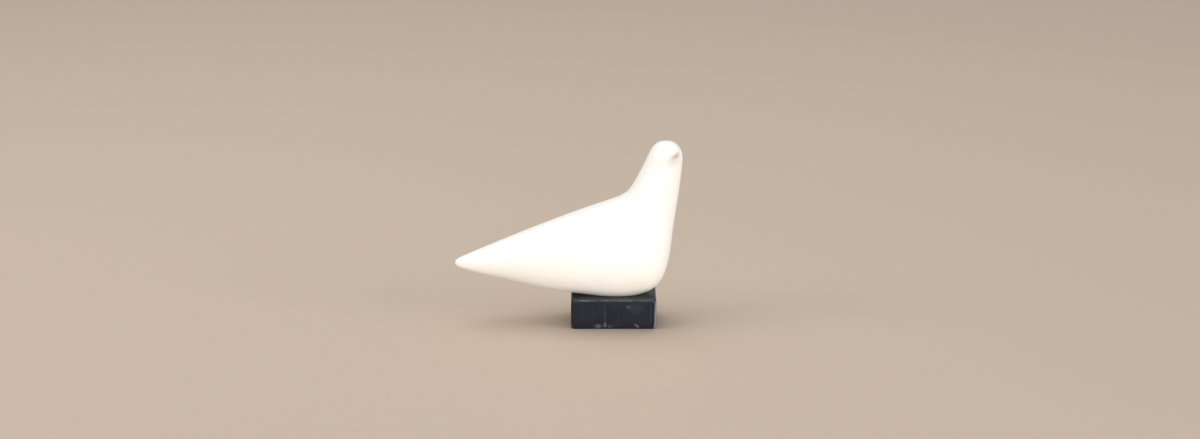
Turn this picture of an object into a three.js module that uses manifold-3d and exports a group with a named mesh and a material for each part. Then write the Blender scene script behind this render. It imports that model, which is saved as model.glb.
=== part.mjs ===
// A simplified dove resting on a low black stone block.
// The dove is one smooth cast body, with a small beak pinched out of the front of its head.
// Millimetres, +Z up and +X towards the dove's head. The origin is the middle of the block's underside.

import * as THREE from 'three';
import { RoundedBoxGeometry } from 'three/addons/geometries/RoundedBoxGeometry.js';
import { mergeVertices } from 'three/addons/utils/BufferGeometryUtils.js';
import Module from 'manifold-3d';

// Driving dimensions of the block
const BLOCK_WIDTH = 95;
const BLOCK_DEPTH = 64;
const BLOCK_HEIGHT = 33.5;
const BLOCK_EDGE_RADIUS = 2;
const BLOCK_EDGE_STEPS = 3;

// The dove's stations, from the end of the tail to the top of the head. Each is a slanted section of the
// body: back and keel are the [x, z] ends of its long axis on the middle plane, halfWidth is its reach to
// each side, and prow says how much its front half narrows towards the beak.
const STATIONS = [
  { name: 'tail tip', back: [-177.5, 68], keel: [-177.5, 68], halfWidth: 0, prow: 0 },
  { name: 'tail end', back: [-168, 76], keel: [-168, 61], halfWidth: 7.5, prow: 0 },
  { name: 'tail', back: [-119.5, 96.5], keel: [-120, 49.5], halfWidth: 22.5, prow: 0 },
  { name: 'rump', back: [-69.5, 116.5], keel: [-70, 38], halfWidth: 36, prow: 0 },
  { name: 'back', back: [-25, 133.1], keel: [-25, 32], halfWidth: 43, prow: 0 },
  { name: 'shoulder', back: [3, 143], keel: [9, 29.5], halfWidth: 44.5, prow: 0 },
  { name: 'breast', back: [14, 149], keel: [43.2, 38.5], halfWidth: 42, prow: 0 },
  { name: 'neck root', back: [20.5, 157], keel: [59.1, 62], halfWidth: 36, prow: 0 },
  { name: 'neck', back: [29.5, 173.5], keel: [66.4, 108], halfWidth: 28, prow: 0.06 },
  { name: 'throat', back: [36.5, 188], keel: [72.7, 152], halfWidth: 22.5, prow: 0.14 },
  { name: 'head', back: [42, 199], keel: [75.8, 180], halfWidth: 20, prow: 0.2 },
  { name: 'brow', back: [47, 204.5], keel: [75, 196], halfWidth: 15.5, prow: 0.14 },
  { name: 'crown', back: [59.5, 207.5], keel: [59.5, 207.5], halfWidth: 0, prow: 0 },
];
const KNOT_POWER = 0.6; // below 1 it gives short steps between stations a larger share of the length
const TAIL_FULLNESS = 1.5; // how bluntly the tail tip opens, against a straight cone to the next station
const CROWN_FULLNESS = 1.7; // the same at the top of the head

// Driving dimensions of the beak. A soft hollow is pinched into each side of the head's front, so that the
// beak is left standing between the two, as a ridge that narrows downwards to the beak's tip. Angles are in
// degrees round the head's upright middle line, from the front.
const HEAD_MIDDLE_X = 56;
const HOLLOW_DEPTH = 1.8;
const HOLLOW_TOP = 196.4; // height of the hollows' upper edges at the front
const HOLLOW_DROP = 4.1; // how far those edges have fallen at DROP_ANGLE
const DROP_ANGLE = 80;
const HOLLOW_EDGE = 2.8; // width over which the skin turns in at the upper edge
const HOLLOW_FALL = 7.5; // how far the hollow runs out below it
const HOLLOW_FULL_ANGLE = 40; // past this angle the hollow runs out sideways
const HOLLOW_REACH = 24; // degrees over which it does
const RIDGE_ROOT = 18; // half the ridge's width at its top, in degrees
const RIDGE_TIP = 7; // the same at the beak's tip
const RIDGE_LENGTH = 13; // how far the tip is below the top
const RIDGE_EDGE = 11; // degrees over which the ridge's side falls into the hollow
const LEAST_PINCH = 0.001; // a pinch shallower than this is left out

// Mesh fineness: rings up to the throat, past the beak and over the crown, and points round a ring,
// which lie closer together at the front and underneath than on the back.
const RING_ZONES = [
  { from: 0, to: 0.88, steps: 44 },
  { from: 0.88, to: 0.96, steps: 24 },
  { from: 0.96, to: 1, steps: 7 },
];
const BODY_SIDES = 56;
const FRONT_CLOSENESS = 0.35;
const PROBE_STEP = 0.001; // step along the body and round it that finds the skin's direction
const MERGE_DISTANCE = 0.0001;
const CUTTER_SCALE = 4; // how many times wider and deeper than the block the flat cut under the dove is

const wasm = await Module();
wasm.setup();

// A station as one row of numbers: back x, back z, keel x, keel z, half width, prow.
const ROWS = STATIONS.map((s) => [...s.back, ...s.keel, s.halfWidth, s.prow]);

// Knots: the mean step of back and keel between stations, raised to KNOT_POWER and summed from 0 to 1.
function knotsOf(rows) {
  const knots = [0];
  for (let i = 1; i < rows.length; i += 1) {
    const [a, b] = [rows[i - 1], rows[i]];
    const backStep = Math.hypot(b[0] - a[0], b[1] - a[1]);
    const keelStep = Math.hypot(b[2] - a[2], b[3] - a[3]);
    knots.push(knots[i - 1] + ((backStep + keelStep) / 2) ** KNOT_POWER);
  }
  return knots.map((k) => k / knots[rows.length - 1]);
}

// Slopes at the knots of the smooth cubic spline through the rows, with the slopes of both ends given.
// Each inner knot gives one row of a three-band system, which is solved by elimination.
function splineSlopes(knots, rows, firstSlope, lastSlope) {
  const last = rows.length - 1;
  const gap = knots.slice(1).map((k, i) => k - knots[i]);
  const upper = [0];
  const slopes = [firstSlope];
  for (let i = 1; i < last; i += 1) {
    const pivot = 2 * (gap[i] + gap[i - 1]) - gap[i] * upper[i - 1];
    upper.push(gap[i - 1] / pivot);
    slopes.push(rows[i].map((value, c) => {
      const behind = (value - rows[i - 1][c]) / gap[i - 1];
      const ahead = (rows[i + 1][c] - value) / gap[i];
      return (3 * (gap[i] * behind + gap[i - 1] * ahead) - gap[i] * slopes[i - 1][c]) / pivot;
    }));
  }
  slopes.push(lastSlope);
  for (let i = last - 1; i > 0; i -= 1) {
    slopes[i] = slopes[i].map((value, c) => value - upper[i] * slopes[i + 1][c]);
  }
  return slopes;
}

// End slopes: the section opens at the same rate up, down and sideways, so that both ends are round.
function endSlopes(knots, rows) {
  const last = rows.length - 1;
  const halfHeight = (row) => Math.hypot(row[0] - row[2], row[1] - row[3]) / 2;
  const tail = (TAIL_FULLNESS * halfHeight(rows[1])) / knots[1];
  const crown = (CROWN_FULLNESS * halfHeight(rows[last - 1])) / (1 - knots[last - 1]);
  return [[0, tail, 0, -tail, tail, 0], [crown, 0, -crown, 0, -crown, 0]];
}

const KNOTS = knotsOf(ROWS);
const SLOPES = splineSlopes(KNOTS, ROWS, ...endSlopes(KNOTS, ROWS));

// The row of numbers at a place along the body, from 0 at the tail tip to 1 at the crown.
function rowAt(along) {
  let i = 0;
  while (i < KNOTS.length - 2 && along > KNOTS[i + 1]) i += 1;
  const gap = KNOTS[i + 1] - KNOTS[i];
  const u = (along - KNOTS[i]) / gap;
  const v = 1 - u;
  return ROWS[i].map((value, c) => (
    (1 + 2 * u) * v * v * value + u * v * v * gap * SLOPES[i][c]
    + u * u * (1 + 2 * v) * ROWS[i + 1][c] - u * u * v * gap * SLOPES[i + 1][c]
  ));
}

// A point of the dove's skin: along the body, and round its section from the back (0) over the far side.
// The section is an ellipse between back and keel, and prow narrows the half that looks forwards and down.
function bodyPoint(along, turn) {
  const [backX, backZ, keelX, keelZ, halfWidth, prow] = rowAt(along);
  const cos = Math.cos(turn);
  return new THREE.Vector3(
    (backX + keelX) / 2 + ((backX - keelX) / 2) * cos,
    halfWidth * Math.sin(turn) * (1 + prow * cos),
    (backZ + keelZ) / 2 + ((backZ - keelZ) / 2) * cos,
  );
}

// How deep the skin is pinched in at a point. The hollow's upper edge falls away from the beak; the skin
// turns in over the edge's width and comes out again slowly below it. Round the head the hollow starts
// beside the ridge and runs out past its full angle.
function pinchAt({ x, y, z }) {
  const { clamp, lerp, radToDeg, smoothstep } = THREE.MathUtils;
  const angle = radToDeg(Math.atan2(Math.abs(y), x - HEAD_MIDDLE_X));
  const below = HOLLOW_TOP - HOLLOW_DROP * (angle / DROP_ANGLE) ** 2 - z;
  const turnedIn = smoothstep(below, -HOLLOW_EDGE / 2, HOLLOW_EDGE / 2);
  const runningOut = Math.exp(-((Math.max(below, 0) / HOLLOW_FALL) ** 2) / 2);
  const ridgeSide = lerp(RIDGE_ROOT, RIDGE_TIP, clamp(below / RIDGE_LENGTH, 0, 1));
  const offRidge = smoothstep(angle, ridgeSide - RIDGE_EDGE / 2, ridgeSide + RIDGE_EDGE / 2);
  const beside = Math.exp(-((Math.max(angle - HOLLOW_FULL_ANGLE, 0) / HOLLOW_REACH) ** 2));
  return HOLLOW_DEPTH * turnedIn * runningOut * beside * offRidge;
}

// A point of the dove's skin with the beak pinched out: moved in along the skin's own inward direction.
function skinPoint(along, turn) {
  const point = bodyPoint(along, turn);
  const depth = pinchAt(point);
  if (depth < LEAST_PINCH) return point;
  const dAlong = bodyPoint(along + PROBE_STEP, turn).sub(point);
  const dTurn = bodyPoint(along, turn + PROBE_STEP).sub(point);
  const inward = dTurn.cross(dAlong).normalize();
  return point.addScaledVector(inward, depth);
}

// The dove's closed skin: a point at the tail tip, rings along the body, and a point at the crown.
function doveSkin() {
  const alongs = RING_ZONES.flatMap(({ from, to, steps }) => (
    Array.from({ length: steps }, (_, i) => from + ((to - from) * i) / steps)
  )).slice(1);
  const turns = Array.from({ length: BODY_SIDES }, (_, j) => {
    const even = (j / BODY_SIDES) * 2 * Math.PI;
    return even + FRONT_CLOSENESS * Math.sin(even);
  });
  const rings = alongs.flatMap((along) => turns.map((turn) => skinPoint(along, turn)));
  const places = [bodyPoint(0, 0), ...rings, bodyPoint(1, 0)];
  const at = (ring, side) => 1 + ring * BODY_SIDES + (side % BODY_SIDES);
  const lastRing = alongs.length - 1;
  const faces = [];
  for (let j = 0; j < BODY_SIDES; j += 1) {
    faces.push(0, at(0, j), at(0, j + 1));
    faces.push(places.length - 1, at(lastRing, j + 1), at(lastRing, j));
    for (let i = 0; i < lastRing; i += 1) {
      faces.push(at(i, j), at(i + 1, j), at(i + 1, j + 1), at(i, j), at(i + 1, j + 1), at(i, j + 1));
    }
  }
  const geometry = new THREE.BufferGeometry().setFromPoints(places);
  geometry.setIndex(faces);
  return geometry;
}

// A closed geometry as a solid that can be cut.
function solidOf(geometry) {
  const plain = geometry.clone();
  plain.deleteAttribute('normal');
  plain.deleteAttribute('uv');
  const merged = mergeVertices(plain, MERGE_DISTANCE);
  return new wasm.Manifold(new wasm.Mesh({
    numProp: 3,
    vertProperties: new Float32Array(merged.attributes.position.array),
    triVerts: new Uint32Array(merged.index.array),
  }));
}

// A cut solid as a geometry again.
function geometryOf(solid) {
  const mesh = solid.getMesh();
  const geometry = new THREE.BufferGeometry();
  geometry.setAttribute('position', new THREE.BufferAttribute(mesh.vertProperties, 3));
  geometry.setIndex(new THREE.BufferAttribute(mesh.triVerts, 1));
  geometry.computeVertexNormals();
  return geometry;
}

// The dove: its skin, cut flat where it rests on the block.
function makeDove() {
  const below = new THREE.BoxGeometry(CUTTER_SCALE * BLOCK_WIDTH, CUTTER_SCALE * BLOCK_DEPTH, BLOCK_HEIGHT);
  below.translate(0, 0, BLOCK_HEIGHT / 2);
  const solid = solidOf(doveSkin()).subtract(solidOf(below));
  const ceramic = new THREE.MeshStandardMaterial({ color: 0xf4f0e6, roughness: 0.45, metalness: 0 });
  const dove = new THREE.Mesh(geometryOf(solid), ceramic);
  dove.name = 'dove';
  return dove;
}

// The block: a sawn and honed stone box with eased edges, standing on its underside.
function makeBlock() {
  const size = [BLOCK_WIDTH, BLOCK_DEPTH, BLOCK_HEIGHT];
  const box = new RoundedBoxGeometry(...size, BLOCK_EDGE_STEPS, BLOCK_EDGE_RADIUS);
  const stone = new THREE.MeshStandardMaterial({ color: 0x2c2c2f, roughness: 0.6, metalness: 0 });
  const block = new THREE.Mesh(box, stone);
  block.name = 'base_block';
  block.position.z = BLOCK_HEIGHT / 2;
  return block;
}

const part = new THREE.Group();
part.add(makeDove(), makeBlock());

export default part;
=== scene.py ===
"""A simplified white dove resting on a low block of black stone.

The dove is one smooth cast ceramic body with an upright neck, a long pointed tail and a small beak
pinched out of the front of its head. The block is a sawn and honed stone with eased, worn edges.
Shapes are worked out in millimetres and turned into metres when a mesh is made. +Z is up and +X is
towards the dove's head.
"""

from __future__ import annotations

import logging
import math
from dataclasses import dataclass
from enum import Enum

import bmesh
import bpy
import numpy as np
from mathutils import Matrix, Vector

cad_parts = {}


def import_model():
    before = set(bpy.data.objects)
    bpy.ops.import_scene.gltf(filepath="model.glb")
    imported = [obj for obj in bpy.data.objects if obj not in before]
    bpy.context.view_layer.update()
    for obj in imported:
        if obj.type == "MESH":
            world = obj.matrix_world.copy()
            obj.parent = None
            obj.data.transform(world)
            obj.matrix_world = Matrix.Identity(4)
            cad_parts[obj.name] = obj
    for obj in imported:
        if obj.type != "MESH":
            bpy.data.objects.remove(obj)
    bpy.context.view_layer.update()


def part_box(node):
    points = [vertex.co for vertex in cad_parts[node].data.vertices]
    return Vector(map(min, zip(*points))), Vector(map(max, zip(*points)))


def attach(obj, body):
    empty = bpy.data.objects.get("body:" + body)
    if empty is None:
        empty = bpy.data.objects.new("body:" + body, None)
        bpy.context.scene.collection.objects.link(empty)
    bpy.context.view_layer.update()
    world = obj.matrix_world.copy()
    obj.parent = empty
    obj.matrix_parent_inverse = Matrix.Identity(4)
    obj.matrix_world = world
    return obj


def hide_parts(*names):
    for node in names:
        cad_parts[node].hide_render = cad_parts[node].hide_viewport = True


MM = 0.001
SAME_PLACE = 1e-6
PROBE_STEP = 1e-4
LEAST_LENGTH = 1e-12
BODY = "root"
LOG = logging.getLogger("dove_sculpture")

Socket = bpy.types.NodeSocket
Setting = float | tuple[float, ...] | Socket


class Node(Enum):
    """The construction's nodes that the pieces here stand for."""

    DOVE = "dove"
    BLOCK = "base_block"


class Slot(Enum):
    """The record's material slots."""

    CERAMIC = "dove_ceramic"
    STONE = "black_stone"


class Trace(Enum):
    """Values that a piece's surface carries from its shape to its finish."""

    CREASE = "beak_crease"
    CHEEK = "pinched_cheek"
    WEAR_AND_HIGHLIGHT = "edge_wear_and_highlight"


class Effect(Enum):
    """Shader effects that both finishes use, each a node group."""

    MOTTLE = "soft_mottle"
    RAGGED = "ragged_mask"
    PATCH = "soft_patch"
    SPECKS = "sparse_specks"
    GRAIN = "fine_grain"


def smooth_step(value: np.ndarray, low: float, high: float) -> np.ndarray:
    """Rises smoothly from 0 at low to 1 at high, as 3t^2 - 2t^3.

    Args:
        value: Any array.
        low: Where the rise starts.
        high: Where it ends.

    Returns:
        An array of the same shape, from 0 to 1.
    """
    t = np.clip((value - low) / (high - low), 0.0, 1.0)
    return t * t * (3.0 - 2.0 * t)


def wander(points: np.ndarray, wavelength: float, seed: int, waves: int = 14) -> np.ndarray:
    """A smooth uneven field: sine waves of one wavelength in random directions, added up.

    value(p) = sum of sin(2 pi d . p / wavelength + phase) over the waves, scaled to about -1 to 1.

    Args:
        points: Places in millimetres, shape (..., 3).
        wavelength: Length of each wave in millimetres.
        seed: Seed of the directions and phases.
        waves: How many waves are added.

    Returns:
        One value for each place, clipped to -1 to 1.
    """
    chance = np.random.default_rng(seed)
    directions = chance.normal(size=(waves, 3))
    directions /= np.linalg.norm(directions, axis=1, keepdims=True)
    phases = chance.uniform(0.0, 2.0 * math.pi, waves)
    angles = points @ directions.T * (2.0 * math.pi / wavelength) + phases
    return np.clip(np.sin(angles).sum(axis=-1) / math.sqrt(2.0 * waves), -1.0, 1.0)


def grid_faces(rings: int, sides: int) -> list[tuple[int, ...]]:
    """Faces of a closed form: a first pole, rings of points one after another, and a last pole.

    Point 0 is the first pole, ring i holds points 1 + i * sides onwards, and the last point is the
    last pole. Faces look outwards when each ring runs anticlockwise as seen from the last pole.

    Args:
        rings: How many rings lie between the poles.
        sides: How many points each ring has.

    Returns:
        The corners of each face: a fan at each pole and quads between.
    """
    here = np.arange(sides)
    following = (here + 1) % sides
    first = 1 + sides * np.arange(rings)[:, None]
    low, high = first[:-1], first[1:]
    quads = np.stack([low + here, low + following, high + following, high + here], axis=-1)
    last_pole = rings * sides + 1
    start = np.stack([np.zeros_like(here), 1 + following, 1 + here], axis=-1)
    end = np.stack([np.full_like(here, last_pole), first[-1] + here, first[-1] + following], axis=-1)
    return start.tolist() + quads.reshape(-1, 4).tolist() + end.tolist()


def make_piece(name: str, points: np.ndarray, faces: list[tuple[int, ...]]) -> bpy.types.Object:
    """Makes a smooth-shaded mesh object whose object sits at the origin.

    Args:
        name: The piece's name.
        points: Its points in millimetres, shape (n, 3).
        faces: The corners of each face.

    Returns:
        The new object, in the scene.
    """
    mesh = bpy.data.meshes.new(name)
    mesh.from_pydata((points * MM).tolist(), [], faces)
    mesh.polygons.foreach_set("use_smooth", np.ones(len(faces), dtype=bool))
    mesh.update()
    piece = bpy.data.objects.new(name, mesh)
    bpy.context.scene.collection.objects.link(piece)
    return piece


def join_doubles(piece: bpy.types.Object) -> np.ndarray:
    """Joins points that lie in the same place, and so takes out faces without area.

    Args:
        piece: The piece.

    Returns:
        The points that are left, in millimetres, shape (n, 3).
    """
    form = bmesh.new()
    form.from_mesh(piece.data)
    bmesh.ops.remove_doubles(form, verts=form.verts, dist=SAME_PLACE)
    form.to_mesh(piece.data)
    form.free()
    places = np.empty(3 * len(piece.data.vertices))
    piece.data.vertices.foreach_get("co", places)
    return places.reshape(-1, 3) / MM


def carry(piece: bpy.types.Object, trace: Trace, values: np.ndarray) -> None:
    """Stores one value for each of a piece's points, for its finish to read.

    Args:
        piece: The piece.
        trace: The name of the values.
        values: One value for each point.
    """
    attribute = piece.data.attributes.new(trace.value, "FLOAT", "POINT")
    attribute.data.foreach_set("value", values.astype(np.float32))


class Wiring:
    """Fills one node tree, so that adding and joining a node is one statement."""

    MIX_INPUTS = ("Factor_Float", "A_Color", "B_Color")
    MIX_RESULT = "Result_Color"

    def __init__(self, tree: bpy.types.NodeTree) -> None:
        """Keeps the tree that is filled."""
        self.tree = tree

    def set(self, socket: Socket, value: Setting) -> None:
        """Joins a socket to another, or gives it a plain value."""
        if isinstance(value, Socket):
            self.tree.links.new(value, socket)
        else:
            socket.default_value = value

    def node(
        self, kind: str, inputs: dict[str, Setting] | None = None, **choices: object
    ) -> bpy.types.Node:
        """Adds a node.

        Args:
            kind: Blender's name of the node's type.
            inputs: What goes into its sockets, by the socket's name.
            choices: The node's own options.

        Returns:
            The new node.
        """
        made = self.tree.nodes.new(kind)
        for name, choice in choices.items():
            setattr(made, name, choice)
        for name, value in (inputs or {}).items():
            self.set(made.inputs[name], value)
        return made

    def _sum(self, kind: str, operation: str, values: tuple[Setting, ...]) -> bpy.types.Node:
        """Adds a node that does one sum on the values, in the order of its sockets."""
        made = self.node(kind, operation=operation)
        for socket, value in zip(made.inputs, values):
            self.set(socket, value)
        return made

    def maths(self, operation: str, *values: Setting) -> Socket:
        """The result of one sum on one, two or three numbers."""
        return self._sum("ShaderNodeMath", operation, values).outputs["Value"]

    def vectors(self, operation: str, *values: Setting) -> Socket:
        """The result of one sum on one or two vectors: a number for a length, otherwise a vector."""
        result = "Value" if operation == "LENGTH" else "Vector"
        return self._sum("ShaderNodeVectorMath", operation, values).outputs[result]

    def noise(
        self, vector: Setting, size: Setting, detail: float = 2.0, roughness: float = 0.5
    ) -> Socket:
        """Noise from 0 to 1 whose largest features are about size metres across."""
        scale = self.maths("DIVIDE", 1.0, size) if isinstance(size, Socket) else 1.0 / size
        inputs = {"Vector": vector, "Scale": scale, "Detail": detail, "Roughness": roughness}
        return self.node("ShaderNodeTexNoise", inputs).outputs["Fac"]

    def remap(
        self, value: Setting, low: Setting, high: Setting, to_low: Setting = 0.0, to_high: Setting = 1.0
    ) -> Socket:
        """A value carried smoothly from one range to another and held at its ends."""
        inputs = {
            "Value": value, "From Min": low, "From Max": high, "To Min": to_low, "To Max": to_high
        }
        made = self.node("ShaderNodeMapRange", inputs, interpolation_type="SMOOTHSTEP")
        return made.outputs["Result"]

    def colours(self, factor: Setting, first: Setting, second: Setting) -> Socket:
        """A colour between two, from the first at 0 to the second at 1."""
        made = self.node("ShaderNodeMix", data_type="RGBA")
        sockets = {socket.identifier: socket for socket in made.inputs}
        for name, value in zip(self.MIX_INPUTS, (factor, first, second)):
            self.set(sockets[name], value)
        return next(s for s in made.outputs if s.identifier == self.MIX_RESULT)

    def trace(self, trace: Trace) -> Socket:
        """The values that the piece's surface carries under that name."""
        return self.node("ShaderNodeAttribute", attribute_name=trace.value).outputs["Fac"]

    def place(self) -> Socket:
        """The place on the object, in metres."""
        return self.node("ShaderNodeTexCoord").outputs["Object"]


class EffectKit:
    """The node groups that the finishes share, each built once.

    Detail and roughness are those of a group's noise, and contrast is the part of its range that is
    used. The grain's second layer has its own size and share, against the whole grain's.
    """

    CLOUD_DETAIL = 4.0
    CLOUD_ROUGHNESS = 0.55
    CLOUD_CONTRAST = (0.32, 0.68)
    TEAR_DETAIL = 6.0
    TEAR_ROUGHNESS = 0.65
    TEAR_MIDDLE = 0.5
    GRAIN_DETAIL = 3.0
    FINER_SIZE = 0.25
    FINER_SHARE = 0.35

    def __init__(self) -> None:
        """Builds every group."""
        self.groups = {
            Effect.MOTTLE: self._mottle(),
            Effect.RAGGED: self._ragged(),
            Effect.PATCH: self._patch(),
            Effect.SPECKS: self._specks(),
            Effect.GRAIN: self._grain(),
        }

    @staticmethod
    def _open(
        effect: Effect, inputs: dict[str, float | None], output: str
    ) -> tuple[Wiring, bpy.types.Node]:
        """Starts a group.

        Args:
            effect: Which group.
            inputs: Its inputs with their usual values, None for a vector.
            output: The name of its one output.

        Returns:
            The group's wiring and its input node.
        """
        tree = bpy.data.node_groups.new(effect.value, "ShaderNodeTree")
        for name, usual in inputs.items():
            kind = "NodeSocketVector" if usual is None else "NodeSocketFloat"
            socket = tree.interface.new_socket(name=name, in_out="INPUT", socket_type=kind)
            if usual is not None:
                socket.default_value = usual
        tree.interface.new_socket(name=output, in_out="OUTPUT", socket_type="NodeSocketFloat")
        return Wiring(tree), tree.nodes.new("NodeGroupInput")

    @staticmethod
    def _close(wiring: Wiring, result: Socket) -> bpy.types.NodeTree:
        """Joins a group's result to its output."""
        out = wiring.tree.nodes.new("NodeGroupOutput")
        wiring.set(out.inputs[0], result)
        return wiring.tree

    def _mottle(self) -> bpy.types.NodeTree:
        """Soft clouds: noise of a given size, its contrast raised, from 0 to 1."""
        wiring, given = self._open(Effect.MOTTLE, {"Place": None, "Size": 0.03}, "Value")
        place, size = given.outputs["Place"], given.outputs["Size"]
        cloud = wiring.noise(place, size, self.CLOUD_DETAIL, self.CLOUD_ROUGHNESS)
        return self._close(wiring, wiring.remap(cloud, *self.CLOUD_CONTRAST))

    def _ragged(self) -> bpy.types.NodeTree:
        """A mask whose edge is broken up: noise shifts the mask, and a soft threshold cuts it."""
        inputs = {"Place": None, "Mask": 0.0, "Size": 0.004, "Bite": 0.6, "Edge": 0.2}
        wiring, given = self._open(Effect.RAGGED, inputs, "Mask")
        place, size = given.outputs["Place"], given.outputs["Size"]
        noise = wiring.noise(place, size, self.TEAR_DETAIL, self.TEAR_ROUGHNESS)
        centred = wiring.maths("SUBTRACT", noise, self.TEAR_MIDDLE)
        shift = wiring.maths("MULTIPLY", centred, given.outputs["Bite"])
        shifted = wiring.maths("ADD", given.outputs["Mask"], shift)
        low = wiring.maths("SUBTRACT", self.TEAR_MIDDLE, given.outputs["Edge"])
        high = wiring.maths("ADD", self.TEAR_MIDDLE, given.outputs["Edge"])
        return self._close(wiring, wiring.remap(shifted, low, high))

    def _patch(self) -> bpy.types.NodeTree:
        """A soft oval spot: 1 at its centre, falling to 0 where the scaled distance reaches 1."""
        inputs = {"Place": None, "Centre": None, "Reach": None}
        wiring, given = self._open(Effect.PATCH, inputs, "Mask")
        away = wiring.vectors("SUBTRACT", given.outputs["Place"], given.outputs["Centre"])
        scaled = wiring.vectors("DIVIDE", away, given.outputs["Reach"])
        length = wiring.vectors("LENGTH", scaled)
        return self._close(wiring, wiring.remap(length, 0.0, 1.0, 1.0, 0.0))

    def _specks(self) -> bpy.types.NodeTree:
        """Sparse round specks: a cell has one if its random number is under Share."""
        inputs = {"Place": None, "Spacing": 0.004, "Radius": 0.0004, "Share": 0.3}
        wiring, given = self._open(Effect.SPECKS, inputs, "Mask")
        spacing = given.outputs["Spacing"]
        scale = wiring.maths("DIVIDE", 1.0, spacing)
        cells = wiring.node("ShaderNodeTexVoronoi", {"Vector": given.outputs["Place"], "Scale": scale})
        radius = wiring.maths("DIVIDE", given.outputs["Radius"], spacing)
        spot = wiring.remap(cells.outputs["Distance"], 0.0, radius, 1.0, 0.0)
        chance = wiring.node("ShaderNodeSeparateColor", {"Color": cells.outputs["Color"]})
        chosen = wiring.maths("LESS_THAN", chance.outputs["Red"], given.outputs["Share"])
        return self._close(wiring, wiring.maths("MULTIPLY", spot, chosen))

    def _grain(self) -> bpy.types.NodeTree:
        """Fine unevenness of a finished surface: two layers of noise, the second four times finer."""
        wiring, given = self._open(Effect.GRAIN, {"Place": None, "Size": 0.001}, "Height")
        place, size = given.outputs["Place"], given.outputs["Size"]
        coarse = wiring.noise(place, size, self.GRAIN_DETAIL)
        finer = wiring.noise(place, wiring.maths("MULTIPLY", size, self.FINER_SIZE))
        finer = wiring.maths("MULTIPLY", finer, self.FINER_SHARE)
        height = wiring.maths("MULTIPLY_ADD", coarse, 1.0 - self.FINER_SHARE, finer)
        return self._close(wiring, height)


def new_material(name: str) -> tuple[bpy.types.Material, Wiring, bpy.types.Node]:
    """A material with a Principled shader and nothing else.

    Args:
        name: The material's name.

    Returns:
        The material, its wiring and its shader node.
    """
    material = bpy.data.materials.new(name)
    material.use_nodes = True
    material.node_tree.nodes.clear()
    wiring = Wiring(material.node_tree)
    shader = wiring.node("ShaderNodeBsdfPrincipled")
    wiring.node("ShaderNodeOutputMaterial", {"Surface": shader.outputs["BSDF"]})
    return material, wiring, shader


@dataclass(frozen=True)
class Specks:
    """Sparse specks: spacing and radius in metres, the share of places with one, colour, strength."""

    spacing: float
    radius: float
    share: float
    colour: tuple[float, ...]
    strength: float = 0.5


@dataclass(frozen=True)
class Tear:
    """How a mask's edge is broken up: the size of its teeth in metres, their bite, its softness."""

    size: float
    bite: float
    edge: float


@dataclass(frozen=True)
class Gloss:
    """Uneven gloss: the size of its clouds in metres, their detail, and the roughness at both ends."""

    size: float
    detail: float
    roughness: tuple[float, float]
    contrast: tuple[float, float] = (0.3, 0.7)


@dataclass(frozen=True)
class Grain:
    """Fine unevenness of a surface: its size and its height in metres."""

    size: float
    height: float


class Surface:
    """A material being made, with the place on the object and the shared effects at hand."""

    def __init__(self, slot: Slot, effects: EffectKit) -> None:
        """Starts the material with a Principled shader and nothing else."""
        self.material, self.wiring, self.shader = new_material(slot.value)
        self.effects = effects
        self.place = self.wiring.place()

    def effect(self, effect: Effect, **inputs: Setting) -> Socket:
        """A shared effect at the place on the object.

        Args:
            effect: Which effect.
            inputs: Its other values, by the input's name.

        Returns:
            The effect's one output.
        """
        values = {"Place": self.place, **inputs}
        group = self.effects.groups[effect]
        return self.wiring.node("ShaderNodeGroup", values, node_tree=group).outputs[0]

    def speckled(self, body: Socket, specks: Specks) -> Socket:
        """A colour with specks scattered over it."""
        mask = self.effect(
            Effect.SPECKS, Spacing=specks.spacing, Radius=specks.radius, Share=specks.share
        )
        strength = self.wiring.maths("MULTIPLY", mask, specks.strength)
        return self.wiring.colours(strength, body, specks.colour)

    def torn(self, mask: Socket, tear: Tear) -> Socket:
        """A mask with its edge broken up."""
        return self.effect(Effect.RAGGED, Mask=mask, Size=tear.size, Bite=tear.bite, Edge=tear.edge)

    def roughness(self, gloss: Gloss) -> Socket:
        """The roughness that an uneven gloss gives."""
        clouds = self.wiring.noise(self.place, gloss.size, detail=gloss.detail)
        return self.wiring.remap(clouds, *gloss.contrast, *gloss.roughness)

    def finished(self, colour: Socket, roughness: Socket, grain: Grain) -> bpy.types.Material:
        """Joins the results to the shader.

        Args:
            colour: The surface's colour.
            roughness: Its roughness.
            grain: Its fine unevenness.

        Returns:
            The finished material.
        """
        height = self.effect(Effect.GRAIN, Size=grain.size)
        bump = self.wiring.node(
            "ShaderNodeBump", {"Strength": 1.0, "Distance": grain.height, "Height": height}
        )
        results = {"Base Color": colour, "Roughness": roughness, "Normal": bump.outputs["Normal"]}
        for name, result in results.items():
            self.wiring.set(self.shader.inputs[name], result)
        return self.material


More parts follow.
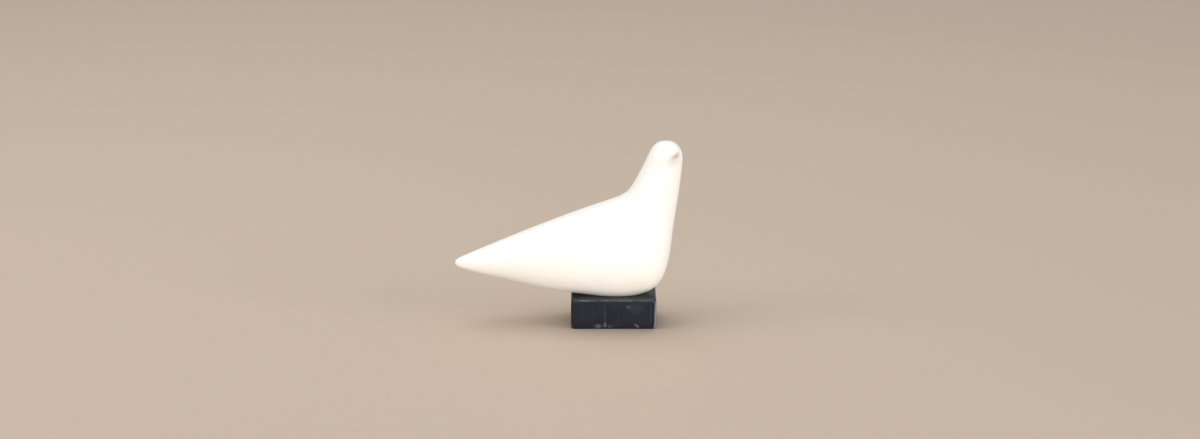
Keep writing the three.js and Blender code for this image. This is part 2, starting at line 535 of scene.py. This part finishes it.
@dataclass(frozen=True)
class SatinCeramic:
    """White cast satin ceramic, slightly ivory in places, brown in the beak's creases as patina and
    painted crease shade, with a fainter painted shade round them.
    """

    white: tuple[float, ...] = (0.88, 0.865, 0.825, 1.0)
    ivory: tuple[float, ...] = (0.865, 0.84, 0.785, 1.0)
    patina_and_shade: tuple[float, ...] = (0.42, 0.30, 0.205, 1.0)
    cloud_size: float = 0.06
    specks: Specks = Specks(0.009, 0.00028, 0.35, (0.50, 0.41, 0.30, 1.0))
    crease_tear: Tear = Tear(0.004, 0.3, 0.48)
    crease_strength: float = 0.38
    cheek_strength: float = 0.35
    gloss: Gloss = Gloss(0.03, 2.0, (0.42, 0.50))
    grain: Grain = Grain(0.0016, 0.00002)

    def material(self, effects: EffectKit) -> bpy.types.Material:
        """Builds the finish with the shared effects."""
        surface = Surface(Slot.CERAMIC, effects)
        wiring = surface.wiring
        clouds = surface.effect(Effect.MOTTLE, Size=self.cloud_size)
        body = surface.speckled(wiring.colours(clouds, self.white, self.ivory), self.specks)
        # The crease's brown is patina together with painted shade in the crease.
        crease = surface.torn(wiring.trace(Trace.CREASE), self.crease_tear)
        # The wide halo round the crease is painted shade.
        halo = wiring.maths("MULTIPLY", wiring.trace(Trace.CHEEK), self.cheek_strength)
        patina_and_shade_mask = wiring.maths("MULTIPLY_ADD", crease, self.crease_strength, halo)
        patina_and_shaded_colour = wiring.colours(patina_and_shade_mask, body, self.patina_and_shade)
        return surface.finished(patina_and_shaded_colour, surface.roughness(self.gloss), self.grain)


@dataclass(frozen=True)
class PalePatch:
    """A pale place on the stone: its middle and its reach in millimetres, and how pale it is."""

    middle: tuple[float, float, float]
    reach: tuple[float, float, float]
    strength: float


@dataclass(frozen=True)
class Streaks:
    """Upright marks: their width in metres, their width over their length, and their noise."""

    size: float
    stretch: float
    detail: float = 3.0
    roughness: float = 0.6
    contrast: tuple[float, float] = (0.35, 0.65)

    def marks(self, surface: Surface) -> Socket:
        """Noise drawn out along Z, from 0 to 1."""
        wiring = surface.wiring
        drawn = wiring.vectors("MULTIPLY", surface.place, (1.0, 1.0, self.stretch))
        noise = wiring.noise(drawn, self.size, self.detail, self.roughness)
        return wiring.remap(noise, *self.contrast)


@dataclass(frozen=True)
class HonedStone:
    """Near-black honed stone, cloudy and finely crystalline, pale where its edges are worn and where a
    highlight is painted along them.
    """

    dark: tuple[float, ...] = (0.0032, 0.0050, 0.0108, 1.0)
    cloud: tuple[float, ...] = (0.0088, 0.0115, 0.0196, 1.0)
    # Pale colour of worn edges and patches; along the edges it also paints a highlight.
    worn: tuple[float, ...] = (0.20, 0.21, 0.222, 1.0)
    cloud_size: float = 0.02
    cloud_share: float = 0.6
    streaks: Streaks = Streaks(0.0035, 0.1)
    streak_share: float = 0.35
    crystals: Specks = Specks(0.0013, 0.00022, 0.35, (0.07, 0.072, 0.08, 1.0))
    edge_tear: Tear = Tear(0.003, 0.9, 0.33)
    patch_tear: Tear = Tear(0.0026, 1.8, 0.28)
    scratches: Streaks = Streaks(0.0017, 0.3)
    scratch_share: float = 0.75
    specular_level: float = 0.2
    gloss: Gloss = Gloss(0.008, 4.0, (0.30, 0.42))
    worn_roughness: float = 0.12
    grain: Grain = Grain(0.0011, 0.00004)
    pale_patches: tuple[PalePatch, ...] = (
        PalePatch((-17.5, -32.0, 3.2), (8.5, 3.0, 4.8), 0.37),
        PalePatch((-9.7, -32.0, 5.2), (3.2, 3.0, 6.4), 0.43),
        PalePatch((-4.8, -32.0, 3.2), (5.6, 3.0, 3.0), 0.28),
        PalePatch((24.2, -32.0, 5.2), (2.9, 3.0, 2.8), 0.62),
        PalePatch((26.6, -32.0, 2.9), (3.1, 3.0, 2.6), 0.62),
        PalePatch((16.6, -32.0, 25.6), (5.0, 3.0, 4.2), 0.24),
        PalePatch((-9.6, -32.0, 17.0), (2.6, 3.0, 23.0), 0.10),
        PalePatch((24.0, -32.0, 24.0), (14.0, 3.0, 12.0), 0.08),
        PalePatch((41.0, -32.0, 18.0), (2.2, 3.0, 17.0), 0.12),
        # Not a scuff: a pale band that makes the front of the top face lighter than the rest of the top.
        PalePatch((0.0, -28.0, 33.5), (90.0, 14.0, 2.0), 0.30),
    )

    def material(self, effects: EffectKit) -> bpy.types.Material:
        """Builds the finish with the shared effects."""
        surface = Surface(Slot.STONE, effects)
        surface.shader.inputs["Specular IOR Level"].default_value = self.specular_level
        wiring = surface.wiring
        clouds = surface.effect(Effect.MOTTLE, Size=self.cloud_size)
        cloudy = wiring.maths("MULTIPLY", clouds, self.cloud_share)
        cloudy = wiring.maths("MULTIPLY_ADD", self.streaks.marks(surface), self.streak_share, cloudy)
        body = surface.speckled(wiring.colours(cloudy, self.dark, self.cloud), self.crystals)
        # The edge mask is wear mixed with a painted highlight along the edges.
        edges = surface.torn(wiring.trace(Trace.WEAR_AND_HIGHLIGHT), self.edge_tear)
        pale = wiring.maths("MAXIMUM", edges, self._pale_patch_mask(surface))
        honed = surface.roughness(self.gloss)
        rougher = wiring.maths("MULTIPLY_ADD", pale, self.worn_roughness, honed)
        return surface.finished(wiring.colours(pale, body, self.worn), rougher, self.grain)

    def _pale_patch_mask(self, surface: Surface) -> Socket:
        """All the pale places as one mask, the front's scuffs and a band along the front of the top,
        each as strong as it says, torn and crossed by scratches.
        """
        wiring = surface.wiring
        total: Setting = 0.0
        for pale_patch in self.pale_patches:
            middle = tuple(value * MM for value in pale_patch.middle)
            reach = tuple(value * MM for value in pale_patch.reach)
            spot = surface.effect(Effect.PATCH, Centre=middle, Reach=reach)
            torn = surface.torn(spot, self.patch_tear)
            total = wiring.maths("MAXIMUM", wiring.maths("MULTIPLY", torn, pale_patch.strength), total)
        scratches = self.scratches.marks(surface)
        kept = wiring.maths("MULTIPLY_ADD", scratches, self.scratch_share, 1.0 - self.scratch_share)
        return wiring.maths("MULTIPLY", total, kept)


@dataclass(frozen=True)
class Station:
    """A slanted section of the dove, in millimetres.

    back and keel are the (x, z) ends of its long axis on the middle plane, half_width is its reach
    to each side, and prow says how much its front half narrows towards the beak.
    """

    name: str
    back: tuple[float, float]
    keel: tuple[float, float]
    half_width: float
    prow: float = 0.0

    def row(self) -> list[float]:
        """The station as numbers: back x, back z, keel x, keel z, half width, prow."""
        return [*self.back, *self.keel, self.half_width, self.prow]


@dataclass(frozen=True)
class Beak:
    """The pinched beak: a soft hollow in each side of the head's front, and the ridge left between.

    The ridge is widest under the hollows' upper edges and narrows down to the beak's tip. Angles are
    in degrees round the head's upright middle line, from the front; lengths in millimetres.
    """

    middle_x: float = 56.0
    hollow_depth: float = 1.8
    hollow_top: float = 196.4
    hollow_drop: float = 4.1
    drop_angle: float = 80.0
    edge_width: float = 2.8
    fall: float = 7.5
    full_angle: float = 40.0
    reach: float = 24.0
    ridge_root: float = 18.0
    ridge_tip: float = 7.0
    ridge_length: float = 13.0
    ridge_edge: float = 11.0
    crease_below: float = 2.0
    crease_width: float = 3.0
    crease_angle: float = 42.0
    crease_reach: float = 18.0
    cheek_width: tuple[float, float] = (5.0, 9.5)
    cheek_angle: float = 52.0
    cheek_reach: tuple[float, float] = (40.0, 44.0)
    # How much of the painted shade round the crease also falls on the ridge.
    ridge_shade: float = 0.5

    def _angle(self, points: np.ndarray) -> np.ndarray:
        """Angle of each place round the head's middle line, from the front."""
        return np.degrees(np.arctan2(np.abs(points[..., 1]), points[..., 0] - self.middle_x))

    def _below(self, points: np.ndarray) -> np.ndarray:
        """How far each place is below the hollow's upper edge, which falls away from the beak."""
        fallen = self.hollow_drop * (self._angle(points) / self.drop_angle) ** 2
        return self.hollow_top - fallen - points[..., 2]

    def _off_ridge(self, points: np.ndarray) -> np.ndarray:
        """0 on the ridge, rising smoothly over the ridge's edge to 1 beside it."""
        angle, below = self._angle(points), self._below(points)
        side = np.interp(below, [0.0, self.ridge_length], [self.ridge_root, self.ridge_tip])
        return smooth_step(angle, side - self.ridge_edge / 2.0, side + self.ridge_edge / 2.0)

    def depth(self, points: np.ndarray) -> np.ndarray:
        """How deep the skin is pinched in.

        The skin turns in over the edge's width and comes out again below it as a bell curve. Round the
        head the hollow starts beside the ridge and runs out past its full angle as a bell curve.

        Args:
            points: Places on the skin, shape (..., 3).

        Returns:
            Depths in millimetres.
        """
        angle = self._angle(points)
        below = self._below(points)
        turned_in = smooth_step(below, -self.edge_width / 2.0, self.edge_width / 2.0)
        running_out = np.exp(-((np.maximum(below, 0.0) / self.fall) ** 2) / 2.0)
        beside = np.exp(-((np.maximum(angle - self.full_angle, 0.0) / self.reach) ** 2))
        return self.hollow_depth * turned_in * running_out * beside * self._off_ridge(points)

    def crease(self, points: np.ndarray) -> np.ndarray:
        """How much each place lies in the crease under the hollow's upper edge, from 0 to 1.

        Args:
            points: Places on the skin, shape (..., 3).

        Returns:
            A bell curve across the crease times one along it.
        """
        across = (self._below(points) - self.crease_below) / self.crease_width
        beside = (self._angle(points) - self.crease_angle) / self.crease_reach
        return np.exp(-(across**2) - beside**2)

    def cheek(self, points: np.ndarray) -> np.ndarray:
        """How much each place lies in the wide faint painted shade round the crease, from 0 to 1.

        Args:
            points: Places on the skin, shape (..., 3).

        Returns:
            A bell curve that falls off more slowly below the crease than above it, times one round
            the head with its own reach to the front and to the back, and fainter on the ridge.
        """
        below = self._below(points) - self.crease_below
        above_width, below_width = self.cheek_width
        across = below / np.where(below > 0.0, below_width, above_width)
        behind = self._angle(points) - self.cheek_angle
        front_reach, back_reach = self.cheek_reach
        beside = behind / np.where(behind > 0.0, back_reach, front_reach)
        on_ridge = self.ridge_shade + (1.0 - self.ridge_shade) * self._off_ridge(points)
        return np.exp(-(across**2) - beside**2) * on_ridge


@dataclass
class Dove:
    """The dove: a smooth closed skin through its stations, flat where it rests on the block."""

    foot: float
    stations: tuple[Station, ...] = (
        Station("tail tip", (-177.5, 68.0), (-177.5, 68.0), 0.0),
        Station("tail end", (-168.0, 76.0), (-168.0, 61.0), 7.5),
        Station("tail", (-119.5, 96.5), (-120.0, 49.5), 22.5),
        Station("rump", (-69.5, 116.5), (-70.0, 38.0), 36.0),
        Station("back", (-25.0, 133.1), (-25.0, 32.0), 43.0),
        Station("shoulder", (3.0, 143.0), (9.0, 29.5), 44.5),
        Station("breast", (14.0, 149.0), (43.2, 38.5), 42.0),
        Station("neck root", (20.5, 157.0), (59.1, 62.0), 36.0),
        Station("neck", (29.5, 173.5), (66.4, 108.0), 28.0, 0.06),
        Station("throat", (36.5, 188.0), (72.7, 152.0), 22.5, 0.14),
        Station("head", (42.0, 199.0), (75.8, 180.0), 20.0, 0.2),
        Station("brow", (47.0, 204.5), (75.0, 196.0), 15.5, 0.14),
        Station("crown", (59.5, 207.5), (59.5, 207.5), 0.0),
    )
    knot_power: float = 0.6
    tail_fullness: float = 1.5
    crown_fullness: float = 1.7
    beak: Beak = Beak()
    ring_zones: tuple[tuple[float, float, int], ...] = (
        (0.0, 0.88, 290),
        (0.88, 0.96, 110),
        (0.96, 1.0, 30),
    )
    sides: int = 220
    front_closeness: float = 0.3
    foot_rounding: float = 0.12
    tooling: tuple[tuple[float, float], ...] = ((60.0, 0.04), (21.0, 0.008))
    tooling_seed: int = 7

    def rows(self) -> np.ndarray:
        """The stations as rows of numbers."""
        return np.array([station.row() for station in self.stations])

    def knots(self) -> np.ndarray:
        """Places of the stations along the body, from 0 to 1.

        Each step is the mean distance of back and keel to the power knot_power, summed and scaled.
        """
        step = np.diff(self.rows(), axis=0)
        length = (np.hypot(step[:, 0], step[:, 1]) + np.hypot(step[:, 2], step[:, 3])) / 2.0
        summed = np.concatenate([[0.0], np.cumsum(length**self.knot_power)])
        return summed / summed[-1]

    def slopes(self) -> np.ndarray:
        """Slopes at the stations of the smooth cubic spline through them.

        The inner slopes solve the usual three-band system. At both ends the section opens at the
        same rate up, down and sideways, so that the tail tip and the crown are round.
        """
        rows, knots = self.rows(), self.knots()
        gap = np.diff(knots)
        chord = np.diff(rows, axis=0) / gap[:, None]
        half_height = np.hypot(rows[:, 0] - rows[:, 2], rows[:, 1] - rows[:, 3]) / 2.0
        tail = self.tail_fullness * half_height[1] / gap[0]
        crown = self.crown_fullness * half_height[-2] / gap[-1]
        count = len(rows)
        system = np.eye(count)
        inner = np.arange(1, count - 1)
        system[inner, inner - 1] = gap[1:]
        system[inner, inner] = 2.0 * (gap[1:] + gap[:-1])
        system[inner, inner + 1] = gap[:-1]
        wanted = np.zeros_like(rows)
        wanted[0] = [0.0, tail, 0.0, -tail, tail, 0.0]
        wanted[-1] = [crown, 0.0, -crown, 0.0, -crown, 0.0]
        wanted[1:-1] = 3.0 * (gap[1:, None] * chord[:-1] + gap[:-1, None] * chord[1:])
        return np.linalg.solve(system, wanted)

    def sections(self, along: np.ndarray) -> np.ndarray:
        """The body's section at places along it, by cubic Hermite pieces between the stations.

        Args:
            along: Places from 0 at the tail tip to 1 at the crown, shape (n,).

        Returns:
            Rows of numbers as Station.row gives them, shape (n, 6).
        """
        rows, knots, slopes = self.rows(), self.knots(), self.slopes()
        piece = np.clip(np.searchsorted(knots, along, side="right") - 1, 0, len(knots) - 2)
        gap = (knots[piece + 1] - knots[piece])[:, None]
        u = (along[:, None] - knots[piece][:, None]) / gap
        v = 1.0 - u
        from_start = (1.0 + 2.0 * u) * v * v * rows[piece] + u * v * v * gap * slopes[piece]
        from_end = u * u * (1.0 + 2.0 * v) * rows[piece + 1] - u * u * v * gap * slopes[piece + 1]
        return from_start + from_end

    def skin(self, along: np.ndarray, turn: np.ndarray) -> np.ndarray:
        """The plain skin: an ellipse between back and keel at each place along the body.

        The point is the section's middle plus cos(turn) times half the way from keel to back, and
        reaches half_width * sin(turn) * (1 + prow * cos(turn)) to the side.

        Args:
            along: Places along the body, shape (n,).
            turn: Angles round the section from the back over the far side, shape (m,).

        Returns:
            Points in millimetres, shape (n, m, 3).
        """
        back_x, back_z, keel_x, keel_z, half_width, prow = (c[:, None] for c in self.sections(along).T)
        cosine = np.cos(turn)[None, :]
        x = (back_x + keel_x) / 2.0 + (back_x - keel_x) / 2.0 * cosine
        y = half_width * np.sin(turn)[None, :] * (1.0 + prow * cosine)
        z = (back_z + keel_z) / 2.0 + (back_z - keel_z) / 2.0 * cosine
        return np.stack([x, y, z], axis=-1)

    def inward(self, along: np.ndarray, turn: np.ndarray) -> np.ndarray:
        """Unit directions into the body at points of the plain skin, by small steps along and round."""
        here = self.skin(along, turn)
        ahead = self.skin(along + PROBE_STEP, turn) - here
        round_ = self.skin(along, turn + PROBE_STEP) - here
        across = np.cross(round_, ahead)
        return across / np.maximum(np.linalg.norm(across, axis=-1, keepdims=True), LEAST_LENGTH)

    def rest(self, points: np.ndarray) -> np.ndarray:
        """Flattens the underside onto the block: z becomes foot + w ln(1 + e^((z - foot) / w))."""
        flattened = points.copy()
        above = (points[..., 2] - self.foot) / self.foot_rounding
        flattened[..., 2] = self.foot + self.foot_rounding * np.logaddexp(0.0, above)
        return flattened

    def build(self) -> bpy.types.Object:
        """Makes the dove, one closed mesh that carries its beak's crease and the painted shade round it.
        """
        zones = [np.linspace(low, high, steps, endpoint=False) for low, high, steps in self.ring_zones]
        along = np.concatenate(zones)[1:]
        even = np.linspace(2.0 * math.pi, 0.0, self.sides, endpoint=False)
        turn = even + self.front_closeness * np.sin(even)
        plain = self.skin(along, turn)
        depth = self.beak.depth(plain)
        for number, (wavelength, height) in enumerate(self.tooling):
            depth += height * (1.0 + wander(plain, wavelength, self.tooling_seed + number))
        shaped = self.rest(plain + self.inward(along, turn) * depth[..., None])
        tips = self.skin(np.array([0.0, 1.0]), np.array([0.0]))[:, 0]
        points = np.concatenate([tips[:1], shaped.reshape(-1, 3), tips[1:]])
        piece = make_piece("white_dove", points, grid_faces(len(along), self.sides))
        traces = {Trace.CREASE: self.beak.crease(plain), Trace.CHEEK: self.beak.cheek(plain)}
        for trace, values in traces.items():
            carry(piece, trace, np.concatenate([[0.0], values.reshape(-1), [0.0]]))
        return piece

    def dress(self, piece: bpy.types.Object, finish: bpy.types.Material) -> None:
        """Gives the dove its ceramic, and its place in the frame."""
        piece.data.materials.append(finish)
        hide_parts(Node.DOVE.value)
        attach(piece, BODY)


@dataclass
class BaseBlock:
    """The block: a sawn stone box with eased, slightly worn and nicked edges."""

    width: float
    depth: float
    height: float
    edge_radius: float = 1.6
    edge_steps: int = 10
    face_step: float = 0.5
    top_rings: int = 26
    top_gather: float = 1.5
    under_rings: int = 8
    wobble: float = 0.06
    wobble_length: float = 7.0
    edge_reach: float = 1.6
    corner_loss: float = 0.6
    corner_reach: float = 3.6
    wear_and_highlight_reach: float = 1.2
    upright_reach: float = 1.7
    # Shares of the upright edges' pale line, wear and painted highlight, from the tail's end to the
    # head's.
    upright_wear_and_highlight: tuple[float, float] = (0.3, 1.15)
    side_share: float = 0.45
    turn_blend: float = 1.0 / 3.0
    bow: float = 2.4
    bow_length: float = 3.2
    upper_wear_and_highlight: float = 0.76
    lower_wear: float = 0.35
    wear_and_highlight_length: float = 22.0
    wear_and_highlight_unevenness: float = 0.18
    nicks: int = 26
    nick_reach: tuple[float, float] = (0.5, 1.3)
    nick_depth: tuple[float, float] = (0.10, 0.32)
    nick_nearness: float = 0.75
    nick_power: float = 1.5
    nick_seed: int = 11

    @classmethod
    def from_frame(cls) -> BaseBlock:
        """A block as large as the construction's own."""
        low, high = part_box(Node.BLOCK.value)
        return cls(*((high - low) / MM))

    def plan(self) -> tuple[np.ndarray, np.ndarray]:
        """The block's outline from above: straight sides joined by quarter circles.

        Returns:
            Its points (n, 2), anticlockwise, and their outward unit directions (n, 2).
        """
        points, directions = [], []
        half = np.array([self.width, self.depth]) / 2.0 - self.edge_radius
        for quarter, signs in enumerate(((1.0, 1.0), (-1.0, 1.0), (-1.0, -1.0), (1.0, -1.0))):
            angle = math.pi / 2.0 * (quarter + np.linspace(0.0, 1.0, self.edge_steps + 1))
            outward = np.stack([np.cos(angle), np.sin(angle)], axis=-1)
            points.append(half * signs + self.edge_radius * outward)
            directions.append(outward)
            run = 2.0 * half[quarter % 2]
            share = np.linspace(0.0, 1.0, round(run / self.face_step) + 1)[1:-1, None]
            turned = np.array([[0.0, -1.0], [1.0, 0.0]]) @ outward[-1]
            points.append(points[-1][-1] + turned * run * share)
            directions.append(np.repeat(outward[-1:], len(share), axis=0))
        return np.concatenate(points), np.concatenate(directions)

    def profile(self) -> tuple[np.ndarray, np.ndarray, np.ndarray]:
        """The block's upright section from the underside's middle to the top's middle.

        Returns:
            For each ring: how much of the plan it keeps (1 at the walls, 0 at the middle), its height,
            and the angle of its outward direction above the horizontal.
        """
        radius = self.edge_radius
        rising = np.linspace(0.0, math.pi / 2.0, self.edge_steps + 1)
        curling = rising - math.pi / 2.0
        wall_steps = round((self.height - 2.0 * radius) / self.face_step)
        wall = np.linspace(radius, self.height - radius, wall_steps)[1:-1]
        under = np.linspace(0.0, 1.0, self.under_rings + 1)[1:-1]
        top = 1.0 - np.linspace(0.0, 1.0, self.top_rings + 1)[1:-1] ** self.top_gather
        stretches = [
            (under, np.zeros_like(under), np.full_like(under, -math.pi / 2.0)),
            (np.ones_like(curling), radius * (1.0 + np.sin(curling)), curling),
            (np.ones_like(wall), wall, np.zeros_like(wall)),
            (np.ones_like(rising), self.height - radius + radius * np.sin(rising), rising),
            (top, np.full_like(top, self.height), np.full_like(top, math.pi / 2.0)),
        ]
        keep, heights, tilts = (np.concatenate(column) for column in zip(*stretches))
        return keep, heights, tilts

    def _within(self, points: np.ndarray) -> tuple[np.ndarray, np.ndarray]:
        """How far inside the block's end planes and its front and back planes each place is."""
        ends = self.width / 2.0 - np.abs(points[..., 0])
        return ends, self.depth / 2.0 - np.abs(points[..., 1])

    def edge_nearness(self, points: np.ndarray, reach: float) -> np.ndarray:
        """How near each place is to the upright, the upper and the lower edges, 1 on the edge.

        exp(-(a^2 + b^2) / reach^2), where a and b are the distances to the edge's two faces.

        Args:
            points: Places on the block, shape (..., 3).
            reach: Distance in millimetres over which the nearness fades.

        Returns:
            Three values for each place, shape (3, ...).
        """
        ends, sides = self._within(points)
        wall = np.minimum(ends, sides)
        top, underside = self.height - points[..., 2], points[..., 2]
        squares = np.stack([ends**2 + sides**2, wall**2 + top**2, wall**2 + underside**2])
        return np.exp(-squares / reach**2)

    def wear_and_highlight(self, points: np.ndarray) -> np.ndarray:
        """How pale the edges are: partly rubbed-off finish, partly a painted highlight along them.

        Each kind of edge has its own share of its nearness. The upright edges' share grows from the
        tail's end to the head's, is less where the rounding turns to the end, and bows inwards at their
        feet, so that their pale line is partly a painted highlight. An uneven field round 1 multiplies
        the largest of the three.

        Args:
            points: Places on the block, shape (..., 3).

        Returns:
            One value for each place.
        """
        _, upper, lower = self.edge_nearness(points, self.wear_and_highlight_reach)
        share = np.interp(points[..., 0], [-self.width / 2.0, self.width / 2.0], self.upright_wear_and_highlight)
        ends, sides = self._within(points)
        bowed = ends - self.bow * np.exp(-points[..., 2] / self.bow_length)
        upright = np.exp(-(bowed**2 + sides**2) / self.upright_reach**2)
        blend = self.edge_radius * self.turn_blend
        turned = smooth_step(ends - sides, -blend, blend)
        share *= self.side_share + (1.0 - self.side_share) * turned
        edges = [upright * share, upper * self.upper_wear_and_highlight, lower * self.lower_wear]
        uneven = 1.0 + self.wear_and_highlight_unevenness * wander(points, self.wear_and_highlight_length, self.nick_seed + 1)
        return np.max(edges, axis=0) * uneven

    def build(self) -> bpy.types.Object:
        """Makes the block, one closed mesh that carries how pale its edges are, from wear and a painted
        highlight.
        """
        outline, outward = self.plan()
        keep, heights, tilts = (ring[:, None, None] for ring in self.profile())
        inner = outline - self.edge_radius * outward
        flat = (inner + self.edge_radius * np.cos(tilts) * outward) * keep
        one_each = (*flat.shape[:2], 1)
        unworn = np.concatenate([flat, np.broadcast_to(heights, one_each)], axis=-1)
        upright = np.broadcast_to(np.sin(tilts), one_each)
        facing = np.concatenate([np.cos(tilts) * outward, upright], axis=-1)
        points = unworn - facing * self._lost(unworn)[..., None]
        poles = np.array([[0.0, 0.0, 0.0], [0.0, 0.0, self.height]])
        whole = np.concatenate([poles[:1], points.reshape(-1, 3), poles[1:]])
        piece = make_piece("black_stone_block", whole, grid_faces(len(points), len(outline)))
        carry(piece, Trace.WEAR_AND_HIGHLIGHT, self.wear_and_highlight(join_doubles(piece)))
        return piece

    def _lost(self, points: np.ndarray) -> np.ndarray:
        """Depth of stone that is worn away: an uneven easing of the edges, and small nicks."""
        near = self.edge_nearness(points, self.edge_reach).max(axis=0)
        corner = self.edge_nearness(points, self.corner_reach)
        worn = self.wobble * near * (1.0 + wander(points, self.wobble_length, self.nick_seed))
        worn += self.corner_loss * corner[0] * np.maximum(corner[1], corner[2])
        chance = np.random.default_rng(self.nick_seed)
        on_edge = points[near > self.nick_nearness * near.max()]
        for _ in range(self.nicks):
            middle = on_edge[chance.integers(len(on_edge))]
            reach = chance.uniform(*self.nick_reach)
            depth = chance.uniform(*self.nick_depth)
            away = np.linalg.norm(points - middle, axis=-1) / reach
            worn += depth * np.clip(1.0 - away**2, 0.0, 1.0) ** self.nick_power
        return worn

    def dress(self, piece: bpy.types.Object, finish: bpy.types.Material) -> None:
        """Gives the block its stone, and its place in the frame."""
        piece.data.materials.append(finish)
        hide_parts(Node.BLOCK.value)
        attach(piece, BODY)


@dataclass(frozen=True)
class SoftBox:
    """A soft oblong lamp: its place, sides in metres, watts, what it looks at, colour and spread."""

    name: str
    place: tuple[float, float, float]
    sides: tuple[float, float]
    watts: float
    aim: tuple[float, float, float] = (0.0, 0.0, 0.1)
    colour: tuple[float, float, float] = (1.0, 1.0, 1.0)
    spread_deg: float = 180.0

    def light(self) -> bpy.types.Object:
        """Adds the lamp, turned towards its aim."""
        lamp = bpy.data.lights.new(self.name, "AREA")
        lamp.shape = "RECTANGLE"
        lamp.size, lamp.size_y = self.sides
        lamp.energy = self.watts
        lamp.color = self.colour
        lamp.spread = math.radians(self.spread_deg)
        held = bpy.data.objects.new(self.name, lamp)
        held.visible_camera = False
        held.location = self.place
        towards = Vector(self.aim) - Vector(self.place)
        held.rotation_euler = towards.to_track_quat("-Z", "Y").to_euler()
        bpy.context.scene.collection.objects.link(held)
        return held


@dataclass
class Studio:
    """A plain pale floor, soft lamps at both sides, in front and above, and the camera."""

    floor_half: float = 40.0
    floor_colour: tuple[float, ...] = (0.53, 0.42, 0.32, 1.0)
    floor_roughness: float = 0.7
    sky_colour: tuple[float, ...] = (0.93, 0.955, 1.0, 1.0)
    sky_strength: float = 0.64
    lamps: tuple[SoftBox, ...] = (
        SoftBox("left_key", (-3.3, -1.0, 2.2), (2.2, 1.6), 35.0, colour=(1.0, 0.99, 0.97)),
        SoftBox("right_fill", (3.4, -1.7, 1.4), (2.0, 1.6), 33.0, colour=(0.97, 0.985, 1.0)),
        SoftBox("front_fill", (0.4, -5.0, 0.38), (3.4, 0.5), 8.3, (0.0, 0.0, 0.08), spread_deg=46.0),
        SoftBox(
            "low_bounce", (0.6, -1.2, 0.06), (0.8, 0.1), 0.26, (0.03, 0.0, 0.05), (1.0, 0.93, 0.84), 34.0
        ),
        SoftBox("overhead", (-0.7, 0.5, 3.0), (2.6, 2.0), 32.0),
    )
    camera_place: tuple[float, float, float] = (-0.0152, -2.5822, 0.8098)
    camera_tilt_deg: float = 75.0
    camera_lens: float = 72.0
    camera_sensor: float = 36.0

    def build(self) -> None:
        """Adds the floor, the lamps, the sky and the camera."""
        self._floor()
        self._sky()
        for lamp in self.lamps:
            lamp.light()
        self._camera()

    def _floor(self) -> None:
        """A flat pale floor at the height of the block's underside."""
        half = self.floor_half / MM
        corners = np.array([[-half, -half, 0], [half, -half, 0], [half, half, 0], [-half, half, 0]])
        floor = make_piece("floor", corners.astype(float), [(0, 1, 2, 3)])
        material, _, shader = new_material("pale_floor")
        shader.inputs["Base Color"].default_value = self.floor_colour
        shader.inputs["Roughness"].default_value = self.floor_roughness
        floor.data.materials.append(material)

    def _sky(self) -> None:
        """An even pale light from all round."""
        world = bpy.data.worlds.new("studio_sky")
        world.use_nodes = True
        background = world.node_tree.nodes["Background"]
        background.inputs["Color"].default_value = self.sky_colour
        background.inputs["Strength"].default_value = self.sky_strength
        bpy.context.scene.world = world

    def _camera(self) -> None:
        """The camera, level across and looking down onto the sculpture."""
        lens = bpy.data.cameras.new("camera")
        lens.lens = self.camera_lens
        lens.sensor_width = self.camera_sensor
        held = bpy.data.objects.new("camera", lens)
        held.location = self.camera_place
        held.rotation_euler = (math.radians(self.camera_tilt_deg), 0.0, 0.0)
        bpy.context.scene.collection.objects.link(held)
        bpy.context.scene.camera = held


def main() -> None:
    """Builds the sculpture and its studio in order, and reports each piece."""
    logging.basicConfig(level=logging.INFO, format="%(name)s: %(message)s")
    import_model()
    Studio().build()
    bpy.context.scene.view_settings.view_transform = "Standard"
    effects = EffectKit()
    block = BaseBlock.from_frame()
    dove = Dove(foot=block.height)
    for maker, finish in ((block, HonedStone()), (dove, SatinCeramic())):
        piece = maker.build()
        maker.dress(piece, finish.material(effects))
        LOG.info("%s: %d faces", piece.name, len(piece.data.polygons))


if __name__ == "__main__":
    main()
